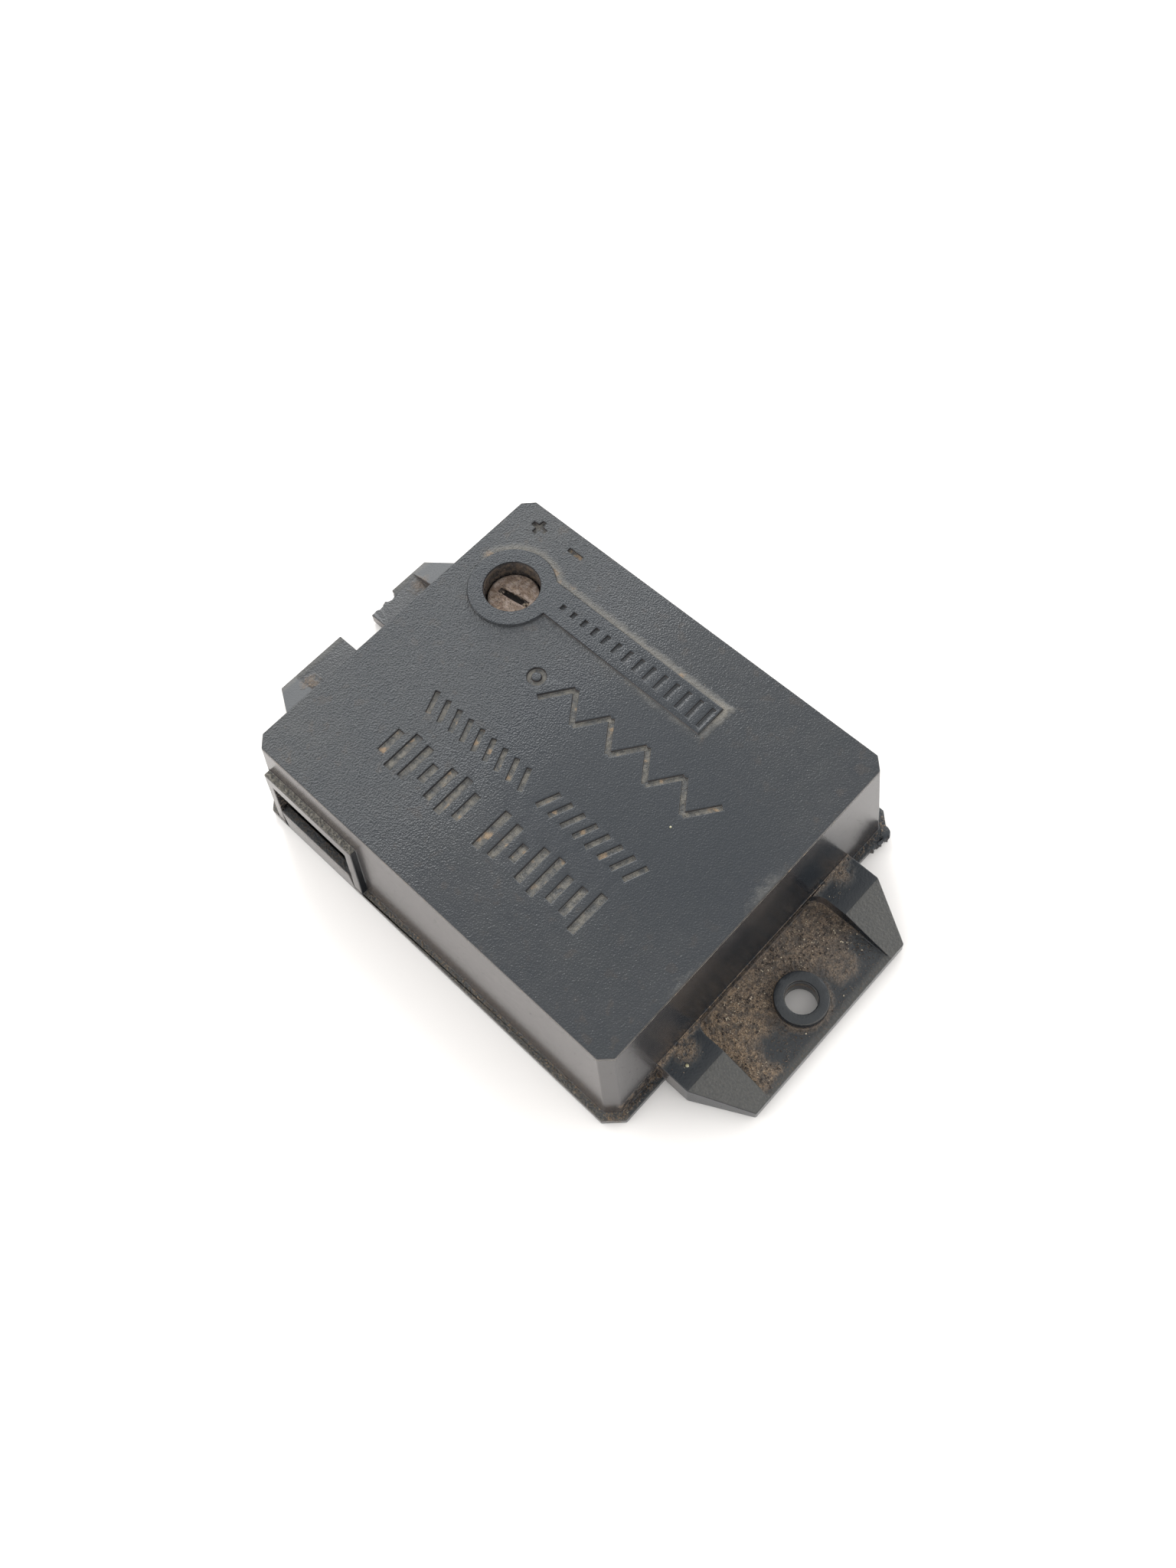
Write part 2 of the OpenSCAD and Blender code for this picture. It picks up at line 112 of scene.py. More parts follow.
# Where dust has gathered: (x, y), or (x, y, radius) of a disc
GUSSET_DUST = ((33.1, -14.8), (32.6, 15.7))
SLOTTED_EAR_DUST = ((-41.4, -10.9), (-41.5, 11.1))
POCKET_DUST = (39.9, 7.0, 1.4)
HAZY_CORNER = (-28.0, 24.0, 3.0)

# Dust at the right edge of the top, (y, reach), with x and y scaled to lengthen it along the edge
EDGE_DUST = ((3.0, 3.2), (-12.5, 2.4))
EDGE_DUST_SCALE = (1.6, 0.6)

# Where the top is rubbed clean: a disc, with x scaled to lengthen it
RUBBED_DISC = (6.0, 1.0, 9.0)
RUBBED_SCALE = 0.62

# Pale specks lying on the drilled ear and on the top: (x, y, z, size)
PALE_SPECKS = ((34.6, -16.1, GUSSET_Z, 0.28), (16.9, 1.3, TOP_Z, 0.2))

# Where the plastic is torn: a point on the outline, how far the damage reaches, how deep it is
TORN_STUB = ((33.2, 23.4), 2.4, 0.34)
TORN_PRONG = ((-44.0, 5.2), 2.7, 0.16)

# The adjuster: the middle of its spindle, the height of its face and its radius
spindle_low, spindle_high = (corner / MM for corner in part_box("trimmer_spindle"))
ADJUSTER = (spindle_low + spindle_high) / 2
SPINDLE_Z = spindle_high.z
SPINDLE_R = (spindle_high.x - spindle_low.x) / 2

# Its screwdriver slot's angle, and how far from the middle the dirt in the ends of the slot lies
DRIVER_SLOT_TURN = math.radians(9)
DRIVER_SLOT_CAKED = (1.7, 2.3)

# Its slot, made ragged by dirt: the middle, how far that reaches, how deep it is
RAGGED_SLOT = (ADJUSTER.xy, SPINDLE_R - 0.5, 0.16)


# ---------------------------------------------------------------- node graphs

class Field:
    """A number that varies over a surface: one node output, with arithmetic."""

    def __init__(self, graph, socket):
        self.graph = graph
        self.socket = socket

    def __add__(self, other):
        return self.graph.math("ADD", self, other)

    def __radd__(self, other):
        return self.graph.math("ADD", other, self)

    def __sub__(self, other):
        return self.graph.math("SUBTRACT", self, other)

    def __rsub__(self, other):
        return self.graph.math("SUBTRACT", other, self)

    def __mul__(self, other):
        return self.graph.math("MULTIPLY", self, other)

    def __rmul__(self, other):
        return self.graph.math("MULTIPLY", other, self)

    def __abs__(self):
        return self.graph.math("ABSOLUTE", self)

    def clamped(self):
        return self.graph.math("ADD", self, 0.0, clamp=True)

    def ramp(self, low, high):
        """Rises smoothly from 0 at low to 1 at high, or falls if low is the larger."""
        return self.graph.ramp(self, low, high)

    def within(self, low, high, soft):
        """1 between low and high, falling to 0 over soft outside them."""
        return self.ramp(low - soft, low) * self.ramp(high + soft, high)


class Graph:
    """Builds one node tree. Points are the object's own coordinates, in millimetres."""

    def __init__(self, tree):
        self.tree = tree
        self.nodes = tree.nodes
        self.links = tree.links

    def node(self, kind, **settings):
        made = self.nodes.new("ShaderNode" + kind)
        for name, value in settings.items():
            setattr(made, name, value)
        return made

    def feed(self, socket, value):
        """Links a field or socket, or sets a plain number or colour."""
        if isinstance(value, Field):
            value = value.socket
        if isinstance(value, bpy.types.NodeSocket):
            self.links.new(value, socket)
        else:
            socket.default_value = value

    def math(self, operation, a, b=None, clamp=False):
        made = self.node("Math", operation=operation, use_clamp=clamp)
        self.feed(made.inputs[0], a)
        if b is not None:
            self.feed(made.inputs[1], b)
        return Field(self, made.outputs[0])

    def least(self, *fields):
        out = fields[0]
        for field in fields[1:]:
            out = self.math("MINIMUM", out, field)
        return out

    def most(self, *fields):
        out = fields[0]
        for field in fields[1:]:
            out = self.math("MAXIMUM", out, field)
        return out

    def ramp(self, value, low, high):
        made = self.node("MapRange", interpolation_type="SMOOTHSTEP")
        self.feed(made.inputs["Value"], value)
        if low < high:
            limits = (low, high, 0.0, 1.0)
        else:
            limits = (high, low, 1.0, 0.0)
        for name, number in zip(("From Min", "From Max", "To Min", "To Max"), limits):
            made.inputs[name].default_value = number
        return Field(self, made.outputs["Result"])

    def split(self, socket):
        made = self.node("SeparateXYZ")
        self.links.new(socket, made.inputs[0])
        return tuple(Field(self, out) for out in made.outputs)

    def place(self):
        """The point in millimetres: its socket, then its x, y and z."""
        made = self.node("VectorMath", operation="SCALE")
        made.inputs["Scale"].default_value = 1 / MM
        self.links.new(self.node("TexCoord").outputs["Object"], made.inputs[0])
        return made.outputs[0], *self.split(made.outputs[0])

    def facing(self):
        """The x, y and z of the surface normal, in the object's own axes."""
        return self.split(self.node("TexCoord").outputs["Normal"])

    def noise(self, point, scale, detail=2.0, roughness=0.5, stretch=None):
        if stretch:
            mapping = self.node("Mapping")
            mapping.inputs["Scale"].default_value = stretch
            self.links.new(point, mapping.inputs["Vector"])
            point = mapping.outputs[0]
        made = self.node("TexNoise")
        self.links.new(point, made.inputs["Vector"])
        made.inputs["Scale"].default_value = scale
        made.inputs["Detail"].default_value = detail
        made.inputs["Roughness"].default_value = roughness
        return Field(self, made.outputs["Fac"])

    def cells(self, point, scale, feature="F1"):
        made = self.node("TexVoronoi", feature=feature)
        self.links.new(point, made.inputs["Vector"])
        made.inputs["Scale"].default_value = scale
        return Field(self, made.outputs["Distance"])

    def mix(self, share, a, b):
        """Colour a where share is 0, colour b where it is 1."""
        made = self.node("Mix", data_type="RGBA")
        for socket, value in zip((made.inputs[0], made.inputs[6], made.inputs[7]), (share, a, b)):
            self.feed(socket, value)
        return made.outputs[2]

    def bump(self, height, depth, under=None):
        """Surface relief: height is about 0 to 1, and depth is its size in millimetres."""
        made = self.node("Bump")
        made.inputs["Strength"].default_value = 1.0
        made.inputs["Distance"].default_value = depth * MM
        self.feed(made.inputs["Height"], height)
        if under is not None:
            self.links.new(under, made.inputs["Normal"])
        return made.outputs[0]

    def from_box(self, x, y, x0, x1, y0, y1):
        """Distance outside an upright box, negative inside it."""
        return self.most(x0 - x, x - x1, y0 - y, y - y1)

    def from_disc(self, x, y, cx, cy, r):
        """Distance outside an upright cylinder, negative inside it."""
        dx = x - cx
        dy = y - cy
        return self.math("SQRT", dx * dx + dy * dy) - r


def srgb(red, green, blue):
    """A colour given as 0 to 255 on screen, in Blender's linear values."""
    def linear(c):
        c /= 255
        return c / 12.92 if c <= 0.04045 else ((c + 0.055) / 1.055) ** 2.4
    return (linear(red), linear(green), linear(blue), 1.0)


def new_material(name, roughness=0.5, metallic=0.0):
    """A material, the graph of its nodes, and its Principled shader."""
    material = bpy.data.materials.new(name)
    material.use_nodes = True
    graph = Graph(material.node_tree)
    shader = graph.nodes["Principled BSDF"]
    shader.inputs["Roughness"].default_value = roughness
    shader.inputs["Metallic"].default_value = metallic
    return material, graph, shader


# ---------------------------------------------------------------- black plastic and dust

PLASTIC = srgb(23, 27, 32)
PLASTIC_WORN = srgb(37, 39, 41)
# A dust film on the walls, which also paints the reflection of the bright floor
WALL_DUST_AND_REFLECTION = srgb(74, 68, 65)
# Grey dust, which on the drilled ear's slopes also paints a reflection of the sky
DUST_AND_REFLECTION_GREY = srgb(122, 116, 106)
DUST_BROWN = srgb(112, 98, 86)
DUST_TAN = srgb(172, 142, 108)
DUST_DARK = srgb(56, 49, 45)
DUST_PALE = srgb(186, 172, 150)


class DustAndReflection:
    """Dust and painted reflection on the case: each method gives 0 for none to about 1 for the
    most.
    """

    # Scales of the noise, in lumps to the millimetre
    PATCHY = 0.35
    COARSE = 1.1
    GRAINS = 3.4

    def __init__(self, graph):
        self.graph = graph
        self.point, self.x, self.y, self.z = graph.place()
        self.out_x, self.out_y, self.out_z = graph.facing()
        self.up = self.out_z.ramp(0.5, 0.9)
        self.patchy = graph.noise(self.point, self.PATCHY, 4.0, 0.6)
        self.coarse = graph.noise(self.point, self.COARSE, 4.0, 0.65)
        self.grains = graph.noise(self.point, self.GRAINS, 3.0, 0.7)
        self.on_top = self.z.ramp(TOP_Z - 0.25, TOP_Z - 0.05) * self.up
        rubbed = graph.from_disc(self.x * RUBBED_SCALE, self.y, *RUBBED_DISC)
        self.rubbed = rubbed.ramp(9.0, 0.0) * self.on_top
        self.from_foot = graph.from_box(
            self.x, self.y, -FOOT_HALF[0], FOOT_HALF[0], -FOOT_HALF[1], FOOT_HALF[1])

    def in_marks(self):
        """The floors of the engraved patterns, unevenly."""
        floors = self.z.within(TOP_Z - MARK_DEPTH - 0.2, TOP_Z - MARK_DEPTH + 0.06, 0.03)
        return floors * (self.coarse.ramp(0.3, 0.65) * 0.6 + self.patchy * 0.2 - 0.04)

    def round_panel(self):
        """A band along the foot of the raised panel, thickest on its far side."""
        graph = self.graph
        ring = graph.from_disc(self.x, self.y, ADJUSTER.x, ADJUSTER.y, PANEL_R)
        bar = graph.from_box(self.x, self.y, ADJUSTER.x, PANEL_X1, *PANEL_Y)
        outside = graph.least(ring, bar)
        ragged = outside + (self.coarse - 0.5) * 2.2
        far_side = (self.y - 12.0 + (self.patchy - 0.5) * 8).ramp(0.0, 4.0)
        band = ragged.ramp(1.5, 0.1) * outside.ramp(-0.1, 0.1) * (0.1 + 0.8 * far_side)
        end = graph.from_disc(self.x, self.y, PANEL_X1, PANEL_Y[1], 0.0).ramp(3.0, 0.5)
        return band * (self.coarse * 1.3 - 0.1 + 0.3 * end) * self.on_top

    def on_top_face(self):
        """A thin haze in the far left corner, at the left end and in two places on the right."""
        graph = self.graph
        corner = graph.from_disc(self.x, self.y, *HAZY_CORNER).ramp(13.0, 0.0)
        left = self.x.ramp(-12.0, -31.0) * self.y.ramp(6.0, -25.0)
        film = (1.0 - self.rubbed) * 0.07 * self.patchy
        ragged = (self.coarse - 0.5) * 5
        worn = []
        across, along = EDGE_DUST_SCALE
        for y, reach in EDGE_DUST:
            spot = graph.from_disc(
                self.x * across, self.y * along, TOP_HALF_X * across, y * along, 0.0)
            worn.append((spot + ragged).ramp(reach, 0.0))
        haze = graph.most(
            corner * 0.12 * self.patchy,
            left * 0.18 * self.patchy,
            graph.most(*worn) * 0.17,
            film,
        )
        panel = self.z.ramp(TOP_Z + 0.1, TOP_Z + 0.25)
        return haze * (1.0 - 0.9 * panel) * self.on_top

    def in_pocket(self):
        """The floor of the drilled ear: thick by the wall and in the front outer corner."""
        graph, x, y = self.graph, self.x, self.y
        floor = x.ramp(31.5, 32.2) * abs(y).ramp(POCKET_HALF + 0.2, POCKET_HALF)
        floor = floor * self.z.within(EAR_FLOOR_Z - 0.3, EAR_FLOOR_Z + 0.3, 0.15)
        ragged = (self.patchy - 0.5) * 6 + (self.coarse - 0.5) * 5
        inner = (x + ragged).ramp(40.8, 37.0)
        corner = (y + ragged * 0.6).ramp(-7.2, -9.4) * (x + ragged * 0.3).ramp(43.7, 42.4)
        patch = graph.from_disc(x, y, *POCKET_DUST) + ragged * 0.5
        patch = patch.ramp(1.8, 0.0) * 0.8
        round_ring = graph.from_disc(x, y, RING_X, 0.0, RING_R) + ragged * 0.3
        round_ring = round_ring.ramp(1.0, 0.1) * 0.6
        lying = graph.most(inner, corner, patch, round_ring)
        speckle = self.grains.ramp(0.5, 0.66) * 0.3
        return graph.most(lying * (0.25 + 0.9 * self.coarse), speckle) * floor

    def in_creases(self):
        """Patches on the gusset tops, the ledge, the right end's foot and the slotted ear."""
        graph = self.graph
        tops = self.z.within(GUSSET_Z - 0.25, GUSSET_Z + 0.1, 0.15) * self.up
        patches = [graph.from_disc(self.x, self.y, *at, 0.3) for at in GUSSET_DUST]
        settled = graph.least(*patches, self.from_foot * 2.0) + (self.coarse - 0.5) * 4
        tops = tops * settled.ramp(2.2, 0.0) * self.coarse.ramp(0.3, 0.6) * 0.8
        right_end = self.x.ramp(30.0, 32.5)
        ledge = self.z.within(0.9, FLANGE_Z + 0.05, 0.1) * self.up * self.from_foot.ramp(1.2, 0.2)
        ledge = ledge * self.grains.ramp(0.48, 0.62) * (0.25 + 0.5 * right_end)
        foot = self.from_foot.within(-0.2, 0.5, 0.4) * self.z.within(1.0, 3.4, 0.8)
        foot = foot * right_end * self.y.ramp(19.0, 17.0) * self.coarse.ramp(0.42, 0.62) * 0.5
        corners = [graph.from_disc(self.x, self.y, *at, 0.3) for at in SLOTTED_EAR_DUST]
        settled = graph.least(*corners) + (self.coarse - 0.5) * 4
        return graph.most(tops, ledge, foot, settled.ramp(1.8, 0.0) * self.up * 0.45)

    def ear_dust_and_reflection(self):
        """Grey dust and painted reflection on the drilled ear's slopes, dust on both ears' ends
        and thinly between.
        """
        beyond = abs(self.x).ramp(FOOT_HALF[0] + 3.0, EAR_BREAK + 0.6)
        # Slopes facing right are lightened: partly grey dust, partly a painted reflection of the
        # sky
        slope = self.out_x.ramp(0.12, 0.25) * beyond
        rim = abs(self.x).ramp(42.5, 43.6) * beyond
        film = self.graph.most(slope * 0.26, rim * 0.22, beyond * 0.05)
        return film * self.up * (0.6 + 0.8 * self.grains)

    def on_frame(self):
        """Speckled grey dust on the socket frame, its sill and the ledge beside it."""
        front = self.y.ramp(-24.0, -25.5) * self.up
        frame_top = self.z.within(FRAME_Z - 0.3, FRAME_Z + 0.05, 0.1)
        sill = self.z.within(SILL_Z - 1.2, SILL_Z + 0.1, 0.1)
        ledge = self.z.within(0.9, FLANGE_Z + 0.05, 0.1) * 0.5
        speckle = 0.3 + self.grains.ramp(0.36, 0.64)
        return self.graph.most(frame_top, sill, ledge) * front * speckle

    def in_socket(self):
        """Brown dust inside the socket."""
        mouth = self.x.within(*MOUTH_X, 0.1) * self.y.ramp(-24.5, -26.0)
        mouth = mouth * self.z.within(4.0, 10.5, 0.3)
        return mouth * self.grains.ramp(0.46, 0.62) * 0.6

    def wall_dust_and_reflection(self):
        """Dust and painted floor reflection on the walls, thin on the right end, missing from its
        middle.
        """
        # Thinner on walls facing right: that side is painted darker
        facing_right = self.out_x.ramp(0.3, 0.9)
        wander = (self.patchy - 0.5) * 8 + (self.coarse - 0.5) * 4
        # Gone from the right end's middle except near its top: painted shade, where the gussets
        # hide the floor
        middle = (self.y + wander).within(-10.0, 12.5, 7.0)
        middle = middle * (self.z + wander * 0.5).ramp(18.6, 12.0)
        in_front = self.y.ramp(-24.5, -25.5)
        film = (1.0 - self.up) * self.z.ramp(0.3, 1.2)
        film = film * (1.0 - facing_right * (0.4 + 0.6 * middle))
        beside_frame = self.x.within(FRAME_X[1] - 0.3, FRAME_X[1] + 0.9, 0.9) * in_front
        beside_frame = beside_frame * self.z.ramp(FRAME_Z + 1.0, FRAME_Z - 1.0)
        film = film * (1.0 - beside_frame * (0.3 + 0.7 * facing_right))
        # Painted reflection of the floor: more on walls facing the front, most of all low down
        front_painted_reflection = self.out_y.ramp(-0.5, -0.9) * (0.2 + 0.7 * self.z.ramp(6.0, 1.0))
        film = film * (0.42 + 0.4 * self.patchy + front_painted_reflection)
        return film * (1.0 - self.x.ramp(EAR_BREAK - 3.0, EAR_BREAK))

    def in_access_hole(self):
        """Brown dust down the wall of the adjuster's access hole."""
        bore = self.graph.from_disc(self.x, self.y, ADJUSTER.x, ADJUSTER.y, ACCESS_R)
        bore = abs(bore).ramp(0.12, 0.05) * self.z.within(SPINDLE_Z - 2.0, TOP_Z - 0.3, 0.5)
        return bore * self.coarse.ramp(0.35, 0.65) * 0.5


# The leather grain: its cells and lumps to the millimetre, and its depth; the depth of dust
PEBBLE_CELLS = 5.2
PEBBLE_LUMPS = 4.4
PEBBLE_DEPTH = 0.09
CRUST_DEPTH = 0.22


def moulding(name, grain_on_top, dusty):
    """Black moulded plastic with a leather grain and the case's dust, or a trace of it."""
    material, graph, shader = new_material(name)
    dust = DustAndReflection(graph)
    point, up = dust.point, dust.up

    worn = graph.noise(point, 0.8, 4.0, 0.6).ramp(0.45, 0.75) * 0.3
    body = graph.mix(worn, PLASTIC, PLASTIC_WORN)
    pits = graph.cells(point, 1.3).ramp(0.16, 0.05) * graph.noise(point, 0.6).ramp(0.42, 0.6)
    pits = pits * (1.0 - up)
    # Dust on the walls together with a painted reflection of the floor, missing at the pits
    film = dust.wall_dust_and_reflection() * (1.0 - pits)
    body = graph.mix(film, body, WALL_DUST_AND_REFLECTION)

    brown = graph.most(
        dust.in_pocket(), dust.in_creases(), dust.in_socket(), dust.in_access_hole())
    # Grey dust, with a painted reflection on the drilled ear's slopes
    grey = graph.most(
        dust.in_marks(), dust.round_panel(), dust.on_top_face(), dust.ear_dust_and_reflection(), dust.on_frame())
    amount = (graph.most(brown, grey) * (0.6 + 0.8 * dust.grains)).clamped()
    if not dusty:
        amount = amount * 0.15
    toward_front = (dust.y + (dust.coarse - 0.5) * 10).ramp(3.0, -8.0)
    fine = graph.noise(point, 7.0, 3.0, 0.7)
    brown_colour = graph.mix(0.25 + 0.6 * toward_front * dust.coarse, DUST_BROWN, DUST_TAN)
    brown_colour = graph.mix(fine.ramp(0.5, 0.36) * 0.85, brown_colour, DUST_DARK)
    brown_colour = graph.mix(dust.grains.ramp(0.52, 0.4) * 0.5, brown_colour, DUST_DARK)
    brown_colour = graph.mix(dust.coarse.ramp(0.54, 0.4) * 0.5, brown_colour, DUST_DARK)
    brown_colour = graph.mix(fine.ramp(0.58, 0.7) * 0.7, brown_colour, DUST_PALE)
    stained = graph.noise(point, 0.55, 2.0, 0.5).ramp(0.6, 0.7)
    stained = stained * dust.z.ramp(TOP_Z - 1.0, TOP_Z - 0.6)
    grey_dust_and_reflection_colour = graph.mix(stained * 0.7, DUST_AND_REFLECTION_GREY, DUST_TAN)
    dust_colour = graph.mix((brown * 4.0).clamped(), grey_dust_and_reflection_colour, brown_colour)
    graph.feed(shader.inputs["Base Color"], graph.mix(amount, body, dust_colour))
    roughness = 0.27 - 0.1 * (1.0 - up) + 0.08 * dust.coarse + 0.05 * dust.rubbed + 0.5 * amount
    graph.feed(shader.inputs["Roughness"], roughness)

    pebbles = graph.cells(point, PEBBLE_CELLS, "SMOOTH_F1") * 0.6
    pebbles = pebbles + graph.noise(point, PEBBLE_LUMPS, 2.0, 0.5) * 0.6
    depth = 0.1 + up * 0.3
    if grain_on_top:
        depth = depth + dust.on_top * (2.4 * dust.x.ramp(3.0, -19.0) + 0.15 - 0.15 * dust.rubbed)
    relief = graph.bump(pebbles * depth - pits * 0.3, PEBBLE_DEPTH)
    crust = dust.grains * 0.5 + graph.cells(point, 2.2) * 0.8
    relief = graph.bump(crust * amount, CRUST_DEPTH, under=relief)
    graph.links.new(relief, shader.inputs["Normal"])
    return material


def dusty_spindle():
    """The adjuster's face, under a felt of brown dust that darkens towards its rim and slot."""
    material, graph, shader = new_material("dusty_spindle", roughness=0.9)
    point, x, y, z = graph.place()
    from_rim = graph.from_disc(x, y, ADJUSTER.x, ADJUSTER.y, SPINDLE_R)
    coarse = graph.noise(point, 1.3, 4.0, 0.65)
    fibres = graph.noise(point, 4.0, 3.0, 0.7, stretch=(0.5, 1.6, 1.0))
    felt = graph.mix(coarse.ramp(0.35, 0.65), srgb(128, 107, 92), srgb(176, 158, 145))
    felt = graph.mix(fibres.ramp(0.5, 0.62) * 0.55, felt, srgb(84, 68, 58))
    felt = graph.mix(graph.noise(point, 2.3).ramp(0.6, 0.7) * 0.6, felt, srgb(190, 166, 140))
    bare = graph.most(z.ramp(SPINDLE_Z - 0.2, SPINDLE_Z - 0.5), from_rim.ramp(-0.35, 0.1) * 0.7)
    graph.feed(shader.inputs["Base Color"], graph.mix(bare, felt, srgb(34, 30, 28)))
    graph.links.new(graph.bump(coarse * 0.5 + fibres * 0.8, 0.5), shader.inputs["Normal"])
    return material


def grit(name, dark, middle, light):
    """Crumbs of dirt, each a little different."""
    material, graph, shader = new_material(name, roughness=0.95)
    point, *_ = graph.place()
    tone = graph.noise(point, 2.6, 1.0, 0.5)
    colour = graph.mix(tone.ramp(0.48, 0.56), dark, middle)
    colour = graph.mix(tone.ramp(0.6, 0.66), colour, light)
    graph.feed(shader.inputs["Base Color"], colour)
    graph.links.new(graph.bump(graph.noise(point, 12.0, 2.0), 0.05), shader.inputs["Normal"])
    return material


# ---------------------------------------------------------------- finishes of the parts inside

ROUGHNESS_SPREAD = 0.12


def mottled(name, low, high, roughness, metallic=0.0, scale=1.5, depth=0.02):
    """A plain finish whose colour, roughness and relief all wander a little."""
    material, graph, shader = new_material(name, metallic=metallic)
    point, *_ = graph.place()
    drift = graph.noise(point, scale, 4.0, 0.6)
    fine = graph.noise(point, scale * 6, 3.0, 0.6)
    graph.feed(shader.inputs["Base Color"], graph.mix(drift.ramp(0.3, 0.7), low, high))
    roughness = roughness + ROUGHNESS_SPREAD * (drift + fine - 1.0)
    graph.feed(shader.inputs["Roughness"], roughness)
    graph.links.new(graph.bump(fine + drift * 0.5, depth), shader.inputs["Normal"])
    return material


def laminate():
    """A circuit board: solder mask over tracks on its faces, bare glass laminate on its edge."""
    material, graph, shader = new_material("board_laminate")
    point, x, y, _ = graph.place()
    flat = abs(graph.facing()[2]).ramp(0.6, 0.8)
    tracks = []
    for across, stretch in ((y, (0.06, 0.5, 1.0)), (x, (0.5, 0.06, 1.0))):
        lane = graph.math("PINGPONG", across, TRACK_PITCH / 2)
        chosen = graph.noise(point, 1.0, 1.0, 0.5, stretch).ramp(0.5, 0.52)
        tracks.append(lane.ramp(TRACK_WIDTH / 2 + 0.04, TRACK_WIDTH / 2) * chosen)
    copper = graph.most(*tracks) * flat
    cloud = graph.noise(point, 0.5, 3.0, 0.6)
    mask = graph.mix(copper * 0.8, srgb(22, 78, 42), srgb(54, 122, 62))
    mask = graph.mix(cloud.ramp(0.55, 0.8) * 0.3, mask, srgb(70, 96, 60))
    fibres = graph.noise(point, 3.0, 2.0, 0.5, stretch=(0.3, 0.3, 4.0))
    edge = graph.mix(fibres, srgb(128, 112, 66), srgb(168, 156, 104))
    graph.feed(shader.inputs["Base Color"], graph.mix(flat, edge, mask))
    graph.feed(shader.inputs["Roughness"], 0.3 + 0.15 * cloud + 0.4 * (1.0 - flat))
    relief = graph.bump(copper + graph.noise(point, 5.0) * 0.3, 0.04)
    graph.links.new(relief, shader.inputs["Normal"])
    return material


def banded(name, body_low, body_high, bands, palette):
    """Parts with coloured bands (from, to) round them, -1 to 1 along their length.

    Each part takes the colour of each band from the palette by its own number.
    """
    material, graph, shader = new_material(name, roughness=0.35)
    point, *_ = graph.place()
    along = Field(graph, graph.node("Attribute", attribute_name="along").outputs["Fac"])
    own = Field(graph, graph.node("Attribute", attribute_name="own").outputs["Fac"])
    colour = graph.mix(graph.noise(point, 1.5, 3.0, 0.6), body_low, body_high)
    for number, (start, end) in enumerate(bands):
        ramp = graph.node("ValToRGB")
        ramp.color_ramp.interpolation = "CONSTANT"
        while len(ramp.color_ramp.elements) < len(palette):
            ramp.color_ramp.elements.new(1.0)
        for place, (stop, shade) in enumerate(zip(ramp.color_ramp.elements, palette)):
            stop.position = place / len(palette)
            stop.color = shade
        pick = graph.math("FRACT", own * (3.0 + 4.0 * number) + 0.37 * number)
        graph.feed(ramp.inputs["Fac"], pick)
        colour = graph.mix(along.within(start, end, 0.03), colour, ramp.outputs["Color"])
    graph.feed(shader.inputs["Base Color"], colour)
    graph.links.new(graph.bump(graph.noise(point, 6.0, 3.0, 0.6), 0.02), shader.inputs["Normal"])
    return material


def striped_sleeve():
    """Shrink sleeve with a pale stripe down the side that faces the socket wall."""
    material, graph, shader = new_material("sleeve_film", roughness=0.32)
    point, *_ = graph.place()
    side = graph.facing()[1]
    drift = graph.noise(point, 1.2, 3.0, 0.6)
    colour = graph.mix(drift, srgb(28, 34, 62), srgb(40, 48, 84))
    colour = graph.mix(side.ramp(-0.86, -0.92), colour, srgb(176, 180, 184))
    graph.feed(shader.inputs["Base Color"], colour)
    graph.links.new(graph.bump(drift, 0.08), shader.inputs["Normal"])
    return material


def microphone_shell():
    """An aluminium can with a disc of black felt over its sound hole."""
    material, graph, shader = new_material("capsule_shell")
    point, x, _, z = graph.place()
    felt = graph.facing()[1].ramp(0.9, 0.97)
    felt = felt * graph.from_disc(x, z, *MICROPHONE_AT, FELT_R).ramp(0.05, -0.05)
    spun = graph.noise(point, 2.0, 3.0, 0.6, stretch=(0.4, 4.0, 0.4))
    fluff = graph.noise(point, 9.0, 3.0, 0.8)
    metal = graph.mix(spun, srgb(176, 178, 182), srgb(214, 215, 218))
    graph.feed(shader.inputs["Base Color"], graph.mix(felt, metal, srgb(22, 22, 24)))
    graph.feed(shader.inputs["Metallic"], 1.0 - felt)
    graph.feed(shader.inputs["Roughness"], 0.3 + 0.12 * spun + 0.6 * felt)
    relief = graph.bump(spun * 0.1 + fluff * felt, 0.15)
    graph.links.new(relief, shader.inputs["Normal"])
    return material


# ---------------------------------------------------------------- meshes

# Points closer than this in mm are joined, and so are faces closer than this in angle
WELD = 0.03
FLAT_ANGLE = math.radians(1)

# Edges are rounded above the first angle, and those longer than this in mm above the second
EDGE_ANGLE = math.radians(24)
LONG_EDGE_ANGLE = math.radians(12)
LONG_EDGE = 4.0

# Shading is smooth across edges below this angle
SMOOTH_ANGLE = math.radians(50)

# The lumps and splinters of torn plastic, in mm, and how much the splinters count
TEAR_LUMPS = 0.45
TEAR_SPLINTERS = 0.17
SPLINTER_SHARE = 0.6

# Without a seed of its own, the noise of torn plastic would change from run to run
TEAR_SEED = 7
noise.seed_set(TEAR_SEED)

# A crumb: the least and most it is stretched sideways, its height, and how far it is raised
CRUMB_STRETCH = (0.6, 1.3)
CRUMB_HEIGHT = 0.7
CRUMB_LIFT = 0.3


def link(name, bm, material):
    """Turns a bmesh into an object in the scene, with one material and smooth shading."""
    mesh = bpy.data.meshes.new(name)
    bm.to_mesh(mesh)
    bm.free()
    mesh.materials.append(material)
    mesh.shade_smooth()
    piece = bpy.data.objects.new(name, mesh)
    bpy.context.scene.collection.objects.link(piece)
    return piece


